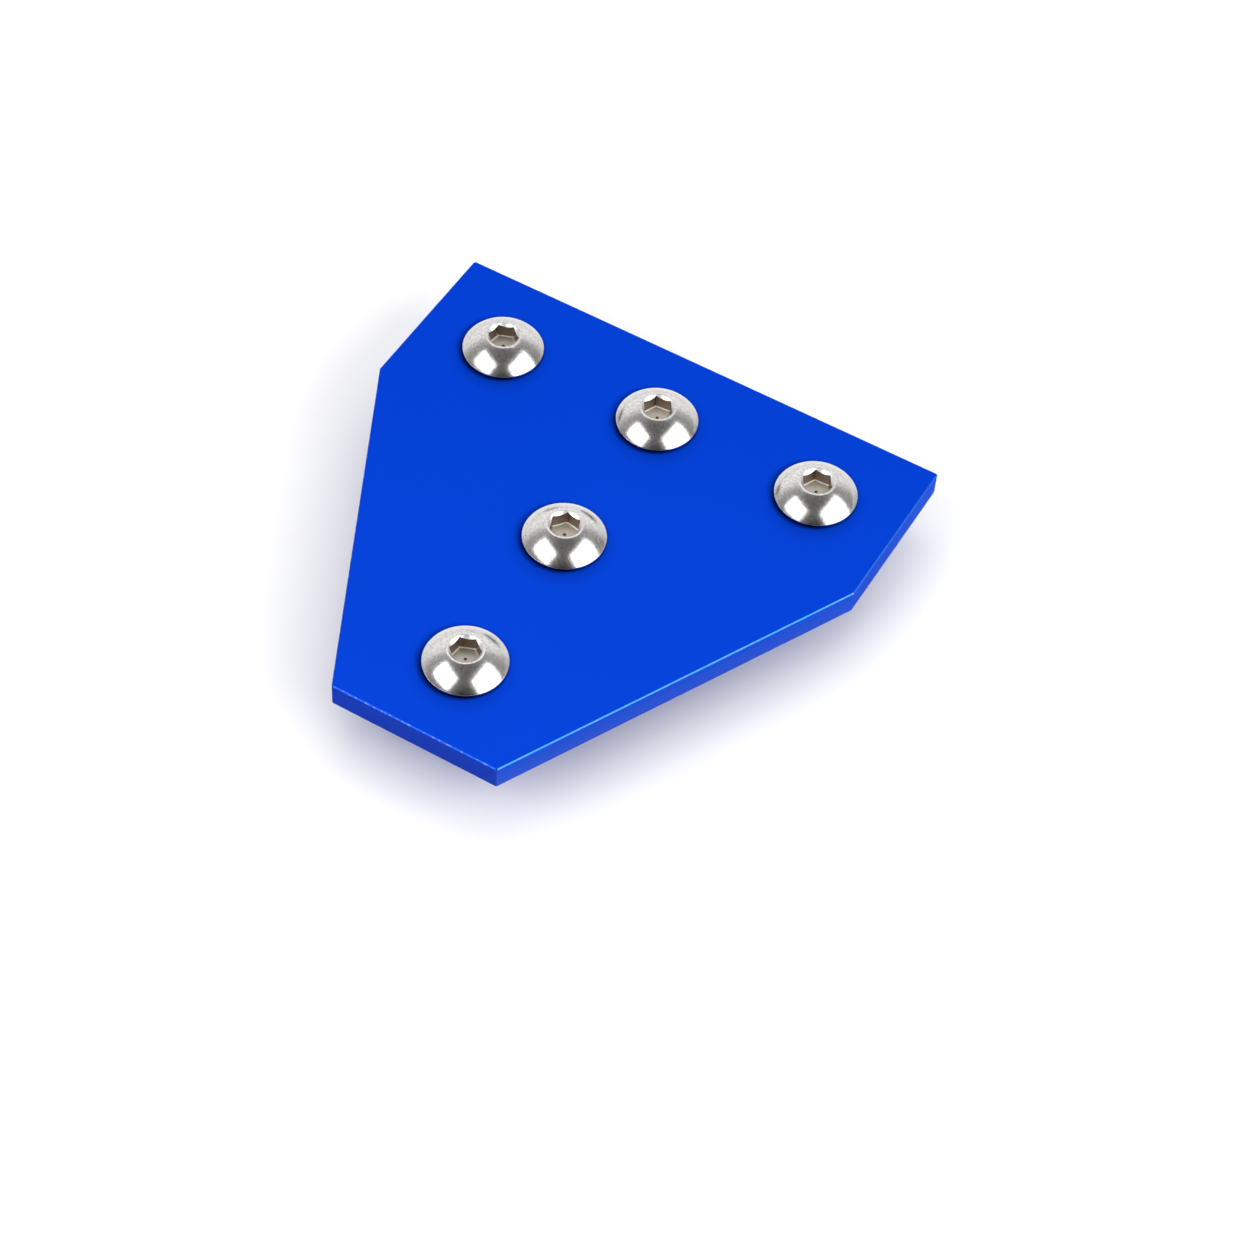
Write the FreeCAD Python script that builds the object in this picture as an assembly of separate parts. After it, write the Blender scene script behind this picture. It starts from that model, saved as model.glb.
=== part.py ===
import FreeCAD, Part
import math
import os

# Joining plate for 20 mm slotted framing. The six-cornered plate ties the end of one bar, the
# stem, square to the side of another, the cross bar. Five button-head screws pass through it
# into T-nuts, which are run on loosely, ready to be slipped into the slots.
# Lengths are millimetres. The cross bar lies along X and the stem along -Y. The origin is on
# the plate's underside, on the axis of the screw that stands where the two bars meet.

# Plate
SCREW_PITCH = 20.0        # screw to screw, along the cross bar and down the stem
ARM_WIDTH = 20.0          # width of both bars, and of the plate's straight ends
END_MARGIN = 10.0         # last screw to the end of the plate
PLATE_THICKNESS = 3.0
CORNER_RADIUS = 0.3       # plan corners
RIM_CHAMFER = 0.12        # 45 degree break along both rims
HOLE_CLEARANCE = 0.3      # hole over thread, across the diameter

# Screws
THREAD_DIAMETER = 5.0
SCREW_REACH = 5.0         # thread that stands out under the plate
TIP_CHAMFER = 0.45
HEAD_OVERHANG = 2.1       # head beyond the thread, each side
HEAD_HEIGHT = 2.3
HEAD_RIM = 0.25           # straight side below the dome
SOCKET_FLATS = 3.0        # hex key size
SOCKET_DEPTH = 1.7        # depth of the six walls
SOCKET_BEVEL = 0.12       # sloping foot of each wall
MOUTH_MARGIN = 0.12       # round mouth beyond the socket's corners

# T-nuts
NUT_DROP = 2.05           # plate's underside to the top of the nut's neck
NUT_WALL = 0.45           # metal beside the thread, in the neck and along the slot
NUT_NECK_HEIGHT = 0.9
NUT_WING = 1.85           # reach of each wing under the slot's lip
NUT_TIP_LAND = 1.05       # upright end of each wing, above its slope
NUT_TURN_RADIUS = 2.6     # the two corners that let the nut turn in the slot
NUT_STOP_RADIUS = 0.2     # the other two corners, which stop the turn
THREAD_CLEARANCE = 0.02   # radial, between thread and nut
NUT_LEAD_IN = 0.2         # chamfer where the screw enters the nut

# Name, steps along the cross bar, steps down the stem, and the turn of the hex in degrees,
# which is where each screw happened to stop.
SCREWS = [
    ("bar_left", -1, 0, 20.5),
    ("bar_middle", 0, 0, 5.0),
    ("bar_right", 1, 0, 4.0),
    ("stem_upper", 0, 1, 50.5),
    ("stem_lower", 0, 2, 23.0),
]
HEX_SIDES = 6

FLAT = 1e-6               # heights closer than this count as one
UP = FreeCAD.Vector(0, 0, 1)
ORIGIN = FreeCAD.Vector(0, 0, 0)


def point(x, y, z=0.0):
    return FreeCAD.Vector(x, y, z)


def thread_radius():
    return THREAD_DIAMETER / 2


def nut_width():
    """Width of the nut's neck, and of the whole nut along the slot."""
    return THREAD_DIAMETER + 2 * NUT_WALL


def place(along, down):
    """Centre of the hole that many pitches along the cross bar and down the stem."""
    return point(along * SCREW_PITCH, -down * SCREW_PITCH)


def face_of(points):
    return Part.Face(Part.makePolygon(points + [points[0]]))


def turned(profile):
    """Solid of revolution about Z of a closed list of edges in the XZ plane."""
    return Part.Face(Part.Wire(profile)).revolve(ORIGIN, UP, 360)


def cone(radius_low, radius_high, z_low, z_high):
    return Part.makeCone(radius_low, radius_high, z_high - z_low, point(0, 0, z_low), UP)


def corner_arc(back, corner, onward, radius):
    """Start, middle and end of the arc that rounds a corner between its two neighbours."""
    to_back = back.sub(corner).normalize()
    to_onward = onward.sub(corner).normalize()
    half = to_back.getAngle(to_onward) / 2
    inward = to_back.add(to_onward).normalize()
    reach = radius / math.tan(half)
    middle = corner + inward * (radius / math.sin(half) - radius)
    return corner + to_back * reach, middle, corner + to_onward * reach


def rounded_outline(corners, radii):
    """Face whose corners are arcs of the given radii, tangent to both their sides."""
    count = len(corners)
    arcs = []
    for index, radius in enumerate(radii):
        arcs.append(corner_arc(corners[index - 1], corners[index], corners[(index + 1) % count], radius))
    edges = []
    for index, (start, middle, end) in enumerate(arcs):
        edges.append(Part.LineSegment(arcs[index - 1][-1], start).toShape())
        edges.append(Part.Arc(start, middle, end).toShape())
    return Part.Face(Part.Wire(edges))


def lies_flat(edge, z):
    box = edge.BoundBox
    return abs(box.ZMin - z) < FLAT and abs(box.ZMax - z) < FLAT


def plate_outline():
    """The bar's end corners and the stem's, joined by two slanted sides."""
    half_bar = SCREW_PITCH * max(along for _, along, _, _ in SCREWS) + END_MARGIN
    stem_end = SCREW_PITCH * max(down for _, _, down, _ in SCREWS) + END_MARGIN
    half_arm = ARM_WIDTH / 2
    return [
        point(-half_bar, half_arm), point(-half_bar, -half_arm),
        point(-half_arm, -stem_end), point(half_arm, -stem_end),
        point(half_bar, -half_arm), point(half_bar, half_arm),
    ]


def plate():
    """The blank with both rims broken, drilled for the screws with a little clearance."""
    corners = plate_outline()
    blank = rounded_outline(corners, [CORNER_RADIUS] * len(corners)).extrude(point(0, 0, PLATE_THICKNESS))
    rims = [edge for edge in blank.Edges if lies_flat(edge, 0) or lies_flat(edge, PLATE_THICKNESS)]
    hole = Part.makeCylinder(thread_radius() + HOLE_CLEARANCE / 2, PLATE_THICKNESS)
    holes = [hole.translated(place(along, down)) for _, along, down, _ in SCREWS]
    return blank.makeChamfer(RIM_CHAMFER, rims).cut(holes)


def hexagon(flats, z):
    """Corners of a hexagon at height z, with the first on +X."""
    corner = flats / math.sqrt(3)
    angles = [math.radians(360 / HEX_SIDES * side) for side in range(HEX_SIDES)]
    return [point(corner * math.cos(a), corner * math.sin(a), z) for a in angles]


def mouth_radius():
    return SOCKET_FLATS / math.sqrt(3) + MOUTH_MARGIN


def screw_body():
    """Head, shank and tip in one turn, with the head's bearing face at z = 0."""
    thread = thread_radius()
    head = thread + HEAD_OVERHANG
    mouth = mouth_radius()
    tip = -(PLATE_THICKNESS + SCREW_REACH)
    # The dome is part of a ball centred on the axis, through the rim and the socket's mouth.
    centre = (mouth ** 2 + HEAD_HEIGHT ** 2 - head ** 2 - HEAD_RIM ** 2) / (2 * (HEAD_HEIGHT - HEAD_RIM))
    ball = math.hypot(head, HEAD_RIM - centre)
    middle = (math.atan2(HEAD_RIM - centre, head) + math.atan2(HEAD_HEIGHT - centre, mouth)) / 2
    crown = point(ball * math.cos(middle), 0, centre + ball * math.sin(middle))
    rim, top = point(head, 0, HEAD_RIM), point(mouth, 0, HEAD_HEIGHT)
    straight = [
        top, point(0, 0, HEAD_HEIGHT), point(0, 0, tip), point(thread - TIP_CHAMFER, 0, tip),
        point(thread, 0, tip + TIP_CHAMFER), point(thread, 0, 0), point(head, 0, 0), rim,
    ]
    profile = [Part.Arc(rim, crown, top).toShape()]
    for start, end in zip(straight, straight[1:]):
        profile.append(Part.LineSegment(start, end).toShape())
    return turned(profile)


def hex_socket():
    """Six walls with sloping feet, and a round mouth cut at 45 degrees."""
    floor = HEAD_HEIGHT - SOCKET_DEPTH
    foot = floor - SOCKET_BEVEL
    walls = face_of(hexagon(SOCKET_FLATS, floor)).extrude(point(0, 0, SOCKET_DEPTH))
    rings = [
        Part.makePolygon(ring + [ring[0]])
        for ring in (hexagon(SOCKET_FLATS, floor), hexagon(SOCKET_FLATS - 2 * SOCKET_BEVEL, foot))
    ]
    feet = Part.makeLoft(rings, True, True)
    # The 45 degree mouth ends where it meets the middle of each flat.
    mouth_depth = mouth_radius() - SOCKET_FLATS / 2
    mouth = cone(SOCKET_FLATS / 2, mouth_radius(), HEAD_HEIGHT - mouth_depth, HEAD_HEIGHT)
    return walls.fuse([feet, mouth])


def screw(along, down, turn):
    solid = screw_body().cut(hex_socket())
    solid.rotate(ORIGIN, UP, turn)
    return solid.translated(place(along, down) + point(0, 0, PLATE_THICKNESS))


def nut_block(half_length, low, high):
    """Upright block: two opposite corners are round for the clockwise turn, two stop it."""
    half_width = nut_width() / 2
    turn = min(NUT_TURN_RADIUS, half_width - NUT_STOP_RADIUS)
    corners = [
        point(-half_length, -half_width, low), point(half_length, -half_width, low),
        point(half_length, half_width, low), point(-half_length, half_width, low),
    ]
    return rounded_outline(corners, [NUT_STOP_RADIUS, turn] * 2).extrude(point(0, 0, high - low))


def nut_body():
    """Wings with upright ends that slope in at 45 degrees below, from z = 0 up."""
    neck = nut_width() / 2
    tip = neck + NUT_WING
    height = NUT_TIP_LAND + NUT_WING
    section = face_of([
        point(-neck, -neck, 0), point(neck, -neck, 0), point(tip, -neck, NUT_WING),
        point(tip, -neck, height), point(-tip, -neck, height), point(-tip, -neck, NUT_WING),
    ])
    return section.extrude(point(0, nut_width(), 0)).common(nut_block(tip, 0, height))


def t_nut(along, down):
    """Nut with its wings across the slot: along Y on the cross bar, along X on the stem."""
    body_height = NUT_TIP_LAND + NUT_WING
    height = body_height + NUT_NECK_HEIGHT
    bore = thread_radius() + THREAD_CLEARANCE
    lead = min(NUT_LEAD_IN, NUT_WALL / 2)
    neck = nut_block(nut_width() / 2, body_height, height)
    nut = nut_body().fuse(neck).removeSplitter()
    nut = nut.cut([Part.makeCylinder(bore, height), cone(bore, bore + lead, height - lead, height)])
    if down == 0:
        nut.rotate(ORIGIN, UP, 90)
    return nut.translated(place(along, down) - point(0, 0, NUT_DROP + height))


def main():
    os.makedirs("parts", exist_ok=True)
    nodes = {"plate": plate()}
    for name, along, down, turn in SCREWS:
        nodes["screw_" + name] = screw(along, down, turn)
        nodes["t_nut_" + name] = t_nut(along, down)
    for name, shape in nodes.items():
        shape.exportStep("parts/" + name + ".step")
        print(name, shape.ShapeType, "solids", len(shape.Solids), "volume", round(shape.Volume, 3))


main()
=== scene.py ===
# %% [markdown]
# # A joining plate with its screws and T-nuts
#
# The object is a flat blue aluminium plate with six corners. Five button-head screws pass through it
# into T-nuts, which hang below it, ready to be slipped into their slots. The sizes are fixed by the
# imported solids, so this script only loads them, dresses them and lights them.

# %% Load the solids
import math

import bmesh
import bpy
import numpy as np
from mathutils import Matrix, Vector


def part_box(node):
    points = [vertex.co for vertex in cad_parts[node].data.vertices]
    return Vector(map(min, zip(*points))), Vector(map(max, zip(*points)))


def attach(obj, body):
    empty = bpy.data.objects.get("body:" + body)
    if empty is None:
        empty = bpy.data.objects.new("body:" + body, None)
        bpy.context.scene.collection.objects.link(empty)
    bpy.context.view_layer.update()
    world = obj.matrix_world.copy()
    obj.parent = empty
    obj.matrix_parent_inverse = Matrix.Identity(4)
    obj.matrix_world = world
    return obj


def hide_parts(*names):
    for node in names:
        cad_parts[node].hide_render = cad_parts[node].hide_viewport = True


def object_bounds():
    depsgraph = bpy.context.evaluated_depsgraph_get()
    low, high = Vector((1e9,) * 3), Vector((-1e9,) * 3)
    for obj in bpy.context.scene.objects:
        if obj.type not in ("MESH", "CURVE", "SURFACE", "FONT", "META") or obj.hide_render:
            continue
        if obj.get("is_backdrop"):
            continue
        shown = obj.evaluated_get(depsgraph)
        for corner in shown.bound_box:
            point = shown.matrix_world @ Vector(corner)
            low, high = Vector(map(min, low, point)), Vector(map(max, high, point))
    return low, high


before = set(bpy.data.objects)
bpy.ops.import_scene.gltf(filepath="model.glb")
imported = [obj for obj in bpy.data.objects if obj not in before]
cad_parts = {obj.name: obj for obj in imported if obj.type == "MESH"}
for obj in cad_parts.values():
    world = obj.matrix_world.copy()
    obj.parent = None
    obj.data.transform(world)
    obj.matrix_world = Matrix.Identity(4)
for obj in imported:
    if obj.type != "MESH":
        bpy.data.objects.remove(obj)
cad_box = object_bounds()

MM = 0.001
for name in sorted(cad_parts):
    low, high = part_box(name)
    print(name, [round(v / MM, 2) for v in low], [round(v / MM, 2) for v in high])

# %% [markdown]
# ## Sizes
#
# Most sizes can be read from the boxes of the solids: where each screw stands, how wide its head is,
# how thick the plate is. The rest is what a box can't say, such as the hexagon inside a head. Those
# are named here once, in metres, and every shape below is worked out from them.

# %% Read and name the sizes
PLATE_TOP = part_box("plate")[1].z
FLOOR_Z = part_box("t_nut_bar_middle")[0].z

# Where each screw's hexagon stopped when it was tightened, in degrees.
HEX_TURNS = {"bar_left": 20.5, "bar_middle": 5.0, "bar_right": 4.0, "stem_upper": 50.5, "stem_lower": 23.0}
HEX_FLATS = 3.0 * MM
HEX_CORNER_RADIUS = 0.07 * MM
SOCKET_DEPTH = 1.7 * MM
FOOT_SLOPE = 0.12 * MM
MOUTH_MARGIN = 0.12 * MM
MOUTH_RADIUS = HEX_FLATS / math.sqrt(3) + MOUTH_MARGIN
LIP_WIDTH = 0.24 * MM
LIP_DROP = 0.034 * MM
PIP_RADIUS = 0.19 * MM
PIP_DEPTH = 0.45 * MM
PIP_TAPER = 0.8
HEAD_RIM = 0.25 * MM
NECK_LENGTH = 0.3 * MM
THREAD_RADIUS = 2.5 * MM
THREAD_PITCH = 0.8 * MM
TIP_CHAMFER = 0.45 * MM

NUT_NECK_HEIGHT = 0.9 * MM
TURN_RADIUS = 2.6 * MM
STOP_RADIUS = 0.2 * MM
NUT_BORE = 2.52 * MM
LEAD_IN = 0.2 * MM


def axis_of(name):
    """Where a screw and its nut stand: the middle of the screw's box."""
    low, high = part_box("screw_" + name)
    return (low.x + high.x) / 2, (low.y + high.y) / 2


print("plate top", round(PLATE_TOP / MM, 3), "floor", round(FLOOR_Z / MM, 3))

# %% [markdown]
# ## From a grid of points to a closed skin
#
# A turned or lofted piece is easiest to write down as a grid: each row is one ring, each column one
# direction from the axis. Three arrays give x, y and z for the whole grid at once. The first and the
# last column lie on each other, and a row at a pole is one point many times over, so merging points
# that coincide closes every seam and pole. Blender's Screw modifier could turn a profile too, but it
# can't make the hexagon or the thread.

# %% Skin
MERGE = 1e-7


def skin(name, x, y, z, marks=None):
    """Quads between neighbouring rows and columns; coinciding points are merged afterwards. Each mark
    is a grid of its own, kept as an attribute of the points for the materials to read."""
    rows, columns = x.shape
    index = np.arange(rows * columns).reshape(rows, columns)
    quads = np.stack([index[:-1, :-1], index[1:, :-1], index[1:, 1:], index[:-1, 1:]], axis=-1)
    mesh = bpy.data.meshes.new(name)
    mesh.from_pydata(np.stack([x, y, z], axis=-1).reshape(-1, 3), [], quads.reshape(-1, 4))
    for label, grid in (marks or {}).items():
        mesh.attributes.new(label, "FLOAT", "POINT").data.foreach_set("value", grid.astype(float).ravel())
    closed = bmesh.new()
    closed.from_mesh(mesh)
    bmesh.ops.remove_doubles(closed, verts=closed.verts, dist=MERGE)
    open_edges = sum(not edge.is_manifold for edge in closed.edges)
    volume = closed.calc_volume(signed=True)
    closed.to_mesh(mesh)
    closed.free()
    mesh.shade_smooth()
    piece = bpy.data.objects.new(name, mesh)
    bpy.context.scene.collection.objects.link(piece)
    print(name, "faces", len(mesh.polygons), "open edges", open_edges, "mm3", round(volume / MM ** 3, 1))
    return piece


# %% [markdown]
# ## Soft edges
#
# No machined edge is truly sharp: a rim a tenth of a millimetre wide catches a line of light, and
# metal looks cut from paper without it. Each ring that is a corner of the profile is replaced by a
# short curve, a quadratic Bezier from a point just before the corner to one just after it. One more
# ring on either side keeps the smooth shading of the flat faces from bending towards the edge.

# %% Rings with soft corners
SOFT_STEPS = 5
GUARD = 0.25
LONGEST_SHARE = 0.4


def shorten(step, cut):
    """The step from a ring to its neighbour cut to that length, or to 0.4 of the way if it is short."""
    length = np.linalg.norm(step, axis=-1, keepdims=True)
    return step * np.minimum(cut / np.maximum(length, MERGE), LONGEST_SHARE)


def soften(rings):
    """Takes (points, cut) pairs. A ring P with a cut becomes (1-t)^2 A + 2t(1-t) P + t^2 B, where A
    and B lie that cut before and after P. A ring with no cut stays as it is."""
    made = []
    for number, (points, cut) in enumerate(rings):
        if cut == 0:
            made.append(points)
            continue
        back = shorten(rings[number - 1][0] - points, cut)
        onward = shorten(rings[number + 1][0] - points, cut)
        made.append(points + (1 + GUARD) * back)
        for t in np.linspace(0, 1, SOFT_STEPS + 1):
            made.append(points + (1 - t) ** 2 * back + t ** 2 * onward)
        made.append(points + (1 + GUARD) * onward)
    return np.array(made)


print("a soft corner takes", SOFT_STEPS + 3, "rings")

# %% [markdown]
# ## Columns of the screw
#
# Every column runs from the pip in the socket's floor, up a wall, over the dome and down the shank.
# The hexagon's six corners need close columns and its flats only a few, so the angle from a corner
# grows as a power of the column's number. At each angle the hexagon's radius is its apothem over the
# cosine of the angle from the middle of the flat, and near a corner that of a small rounding arc.

# %% Angles and the rounded hexagon
SIDES = 6
HALF_SIDE = math.radians(30)
COLUMNS_PER_HALF = 12
COLUMN_POWER = 1.6


def column_angles():
    """One whole turn in six parts, each centred on a corner: angle = 30 degrees times u^1.6."""
    u = np.linspace(-1, 1, 2 * COLUMNS_PER_HALF + 1)[:-1]
    sixth = HALF_SIDE * np.sign(u) * np.abs(u) ** COLUMN_POWER
    turn = np.concatenate([sixth + 2 * HALF_SIDE * side for side in range(SIDES)])
    return np.append(turn, turn[0] + 2 * math.pi)


def hexagon(angle, flats):
    """Distance from the axis to a hexagon with rounded corners, the first corner at angle 0."""
    apothem = flats / 2
    off_corner = (angle + HALF_SIDE) % (2 * HALF_SIDE) - HALF_SIDE
    off_flat = HALF_SIDE - np.abs(off_corner)
    centre = (apothem - HEX_CORNER_RADIUS) / math.cos(HALF_SIDE)
    tangent = math.atan2(
        HEX_CORNER_RADIUS * math.sin(HALF_SIDE), centre + HEX_CORNER_RADIUS * math.cos(HALF_SIDE)
    )
    across = np.minimum(np.abs(centre * np.sin(off_corner)), HEX_CORNER_RADIUS)
    arc = centre * np.cos(off_corner) + np.sqrt(HEX_CORNER_RADIUS ** 2 - across ** 2)
    return np.where(np.abs(off_corner) < tangent, arc, apothem / np.cos(off_flat))


ANGLES = column_angles()
print("columns", len(ANGLES), "smallest step", round(math.degrees(np.diff(ANGLES).min()), 2), "degrees")

# %% [markdown]
# ## The button head
#
# A button head is pressed from wire: a low dome, a thin upright rim, and a hexagon punched into it.
# The punch leaves a small pit at the bottom and sloping feet along the walls, and a 45 degree
# countersink opens the mouth. Where that cone cuts the six flat walls it leaves curved crescents,
# the brightest detail of the head. Each column knows the height at which its wall meets the cone,
# because the cone's radius there equals the hexagon's, so the crescents come out exact. Round the
# mouth runs a lip that is level at first and then leans into the dome.

# %% Lip and dome
DOME_RINGS = 20
LIP_RINGS = 7


def level(radius, height):
    """One ring of the screw as points of radius and height, a column each."""
    return np.stack(np.broadcast_arrays(radius, height, ANGLES)[:2], axis=-1)


def lip(head_height):
    """Rings outside the mouth: at the share t of the lip's width it has dropped by LIP_DROP t^3. The
    first two are left to the soft edge of the mouth."""
    t = np.linspace(0, 1, LIP_RINGS)[2:]
    return [(level(MOUTH_RADIUS + LIP_WIDTH * v, head_height - LIP_DROP * v ** 3), 0) for v in t]


def dome(inner, top, head_radius):
    """Ball centred on the axis through the lip's end and the rim; rings at even steps of its tilt."""
    span = inner ** 2 + top ** 2 - head_radius ** 2 - HEAD_RIM ** 2
    centre = span / (2 * (top - HEAD_RIM))
    ball = math.hypot(head_radius, HEAD_RIM - centre)
    tilts = np.linspace(math.asin(inner / ball), math.asin(head_radius / ball), DOME_RINGS + 1)
    print("dome tilts from", round(math.degrees(tilts[0]), 1), "to", round(math.degrees(tilts[-1]), 1))
    return [(level(ball * math.sin(tilt), centre + ball * math.cos(tilt)), 0) for tilt in tilts[1:-1]]


print("mouth radius", round(MOUTH_RADIUS / MM, 3), "mm and a lip of", round(LIP_WIDTH / MM, 3), "mm")

# %% [markdown]
# Inside the head the rings climb from the pip over the floor and up the walls to the mouth. Outside
# they follow the lip and the dome to the rim, then the bearing face in to the neck of the shank. The
# rim gets the widest soft edge, because tumbling wears it most.

# %% Rings of the head
MOUTH_SOFT = 0.05 * MM
RIM_SOFT = 0.07 * MM
FINE_SOFT = 0.02 * MM


def head_rings(head_radius, head_height):
    """Rings of the socket, from the pip up to the mouth, and then of the outside down to the neck, with
    the bearing face at height 0."""
    wall = hexagon(ANGLES, HEX_FLATS)
    foot = hexagon(ANGLES, HEX_FLATS - 2 * FOOT_SLOPE)
    floor = head_height - SOCKET_DEPTH
    low = floor - FOOT_SLOPE
    socket = [
        (level(0.0, low - PIP_DEPTH), 0),
        (level(PIP_TAPER * PIP_RADIUS, low - PIP_DEPTH), 0),
        (level(PIP_RADIUS, low), FINE_SOFT),
        (level(foot, low), 2 * FINE_SOFT),
        (level(wall, floor), FINE_SOFT),
        (level(wall, head_height - (MOUTH_RADIUS - wall)), FINE_SOFT),
        (level(MOUTH_RADIUS, head_height), MOUTH_SOFT),
    ]
    outside = lip(head_height) + dome(MOUTH_RADIUS + LIP_WIDTH, head_height - LIP_DROP, head_radius) + [
        (level(head_radius, HEAD_RIM), RIM_SOFT),
        (level(head_radius, 0.0), 2 * FINE_SOFT),
        (level(THREAD_RADIUS, 0.0), 2 * FINE_SOFT),
        (level(THREAD_RADIUS, -NECK_LENGTH), 0),
    ]
    return socket, outside


print("soft edges", [round(cut / MM, 2) for cut in (MOUTH_SOFT, RIM_SOFT, FINE_SOFT)], "mm")

# %% [markdown]
# ## The thread
#
# A thread is a profile that climbs one pitch in each turn. If the rows of the grid climb with it,
# a row follows a crest or a root all the way round, and the edges stay crisp with few rows. So a
# point's height is its row's height plus the pitch times the share of the turn. At both ends the
# heights are clipped to the ends of the shank: clipped points coincide, merge and leave a clean cut.
# Screw and nut take their phase from one origin, so that the two threads lie in each other.

# %% Rows that climb, and the thread's profile
CREST = 1 / 16
# Rows between a crest at 0 and the root, and the depths of both threads, all in pitches.
ROOT = 0.5
STATIONS = np.array([0.0, 0.045, 0.08, 0.17, 0.29, 0.38, 0.44])
SCREW_DEPTH = 0.6134
NUT_DEPTH = 0.5413


def climbing_rows(angle, low, high):
    """Each row's place in pitches, and its height at each column: the plate's top plus the pitch times
    the row's place and the share of the turn, kept between low and high."""
    share = angle / (2 * math.pi)
    first = math.floor((low - PLATE_TOP) / THREAD_PITCH - share[0] - 1)
    turns = math.ceil((high - low) / THREAD_PITCH) + 2
    one = np.concatenate([STATIONS, [ROOT], 1 - STATIONS[:0:-1]])
    rows = (first + np.arange(turns)[:, None] + one).reshape(-1, 1)
    return rows, np.clip(PLATE_TOP + THREAD_PITCH * (rows + share), low, high)


def thread_cut(rows, deepest):
    """Depth of a 60 degree thread: none on the crest, then root three times the way down the pitch."""
    off_crest = np.abs(rows - np.round(rows))
    return THREAD_PITCH * np.clip((off_crest - CREST) * math.sqrt(3), 0, deepest)


def fade(height, gone, full):
    """Smooth step from 0 at the height gone to 1 at the height full."""
    t = np.clip((height - gone) / (full - gone), 0, 1)
    return t * t * (3 - 2 * t)


print("rows in a pitch", 2 * len(STATIONS), "thread depth", round(SCREW_DEPTH * THREAD_PITCH / MM, 3), "mm")

# %% [markdown]
# ## The shank
#
# The thread runs out under the head and at the tip, as a rolled thread does, and a 45 degree cone
# bevels the tip. The cone is only a limit on the radius at each height, so it cuts the thread as a
# tool would, with no boolean.

# %% Rings of the shank
TIP_SOFT = 0.06 * MM


def shank_rings(angle, low, high):
    """Radius and height of the thread's rows from the neck down, then of the bevelled tip."""
    tip = low + 2 * TIP_SOFT
    rows, height = climbing_rows(angle, tip, high)
    shown = fade(height, high, high - THREAD_PITCH) * fade(height, tip, tip + TIP_CHAMFER / 2)
    radius = THREAD_RADIUS - thread_cut(rows, SCREW_DEPTH) * shown
    radius = np.minimum(radius, THREAD_RADIUS - TIP_CHAMFER + height - low)
    thread = np.stack([radius, height], axis=-1)[::-1]
    edge, pole = level(THREAD_RADIUS - TIP_CHAMFER, low), level(0.0, low)
    return np.concatenate([thread, soften([(thread[-1], 0), (edge, TIP_SOFT), (pole, 0)])])


print("tip radius", round((THREAD_RADIUS - TIP_CHAMFER) / MM, 3), "mm")

# %% [markdown]
# ## The five screws
#
# One list of columns serves the head and the shank, so a screw is one closed skin from the pip to
# the tip. The hexagon is turned for each screw, but the thread's phase is not. Punch, countersink
# and tumbling leave different finishes on a head. The points of the skin know where they lie, so
# three marks go with them for the material: socket, mouth and floor.

# %% Build the screws
# The mouth mark also places a painted highlight on the countersink.
def head_marks(radius, height, head_top):
    """Where the socket, its countersunk mouth and its floor are: the socket lies inside the hexagon,
    the mouth between hexagon and mouth radius, and the floor from the walls' feet to the pip's edge."""
    depth = head_top - height
    in_head = height > PLATE_TOP
    in_socket = in_head & (radius < hexagon(ANGLES, HEX_FLATS) + FINE_SOFT / 2)
    on_mouth = in_head & ~in_socket & (radius < MOUTH_RADIUS - FINE_SOFT / 2)
    on_floor = in_socket & (SOCKET_DEPTH - FINE_SOFT / 2 < depth)
    on_floor &= depth < SOCKET_DEPTH + FOOT_SLOPE + FINE_SOFT
    return {"socket": in_socket, "mouth": on_mouth, "floor": on_floor}


def screw(name):
    """One screw from its box: x and y are its axis plus the radius times cosine and sine of the angle."""
    low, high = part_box("screw_" + name)
    x, y = axis_of(name)
    angle = ANGLES + math.radians(HEX_TURNS[name])
    socket, outside = head_rings((high.x - low.x) / 2, high.z - PLATE_TOP)
    head = soften(socket + outside) + np.array([0, PLATE_TOP])
    shank = shank_rings(angle, low.z, PLATE_TOP - NECK_LENGTH)
    radius, height = np.moveaxis(np.concatenate([head, shank]), -1, 0)
    piece = skin(
        "button_screw_" + name, x + radius * np.cos(angle), y + radius * np.sin(angle), height,
        head_marks(radius, height, high.z),
    )
    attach(piece, "root")
    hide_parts("screw_" + name)
    return piece


screws = [screw(name) for name in HEX_TURNS]

# %% [markdown]
# ## The T-nuts
#
# A T-nut drops into the slot with its wings along it, and turns a quarter until two sharp corners
# stop it. The other two corners are round to let it turn. It is cast or pressed, then tapped. Its
# neck is a square with those four corner arcs, and the wings are the same outline drawn longer. Each
# column holds a point of both outlines, so that one skin runs up the bore, over the neck and round
# the wings. The slope under a wing meets its wall at a height that each column knows, as in the
# screw's socket, so that edge comes out crisp too.

# %% Outlines of the neck and the wings
SIDE_STEPS = 8
SHOULDER_STEPS = 4
ARC_STEPS = 12


def corner(half_length, half_width, radius, spot, turns):
    """Points of a rounded corner's arc at the given share of its quarter turn. Spots 0 to 3 are the
    corners at +x -y, +x +y, -x +y and -x -y, which follow each other round the outline."""
    sign_x, sign_y = ((1, -1), (1, 1), (-1, 1), (-1, -1))[spot]
    angle = math.pi / 2 * (spot - 1 + turns)
    x = sign_x * (half_length - radius) + radius * np.cos(angle)
    y = sign_y * (half_width - radius) + radius * np.sin(angle)
    return np.stack([x, y])


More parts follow.
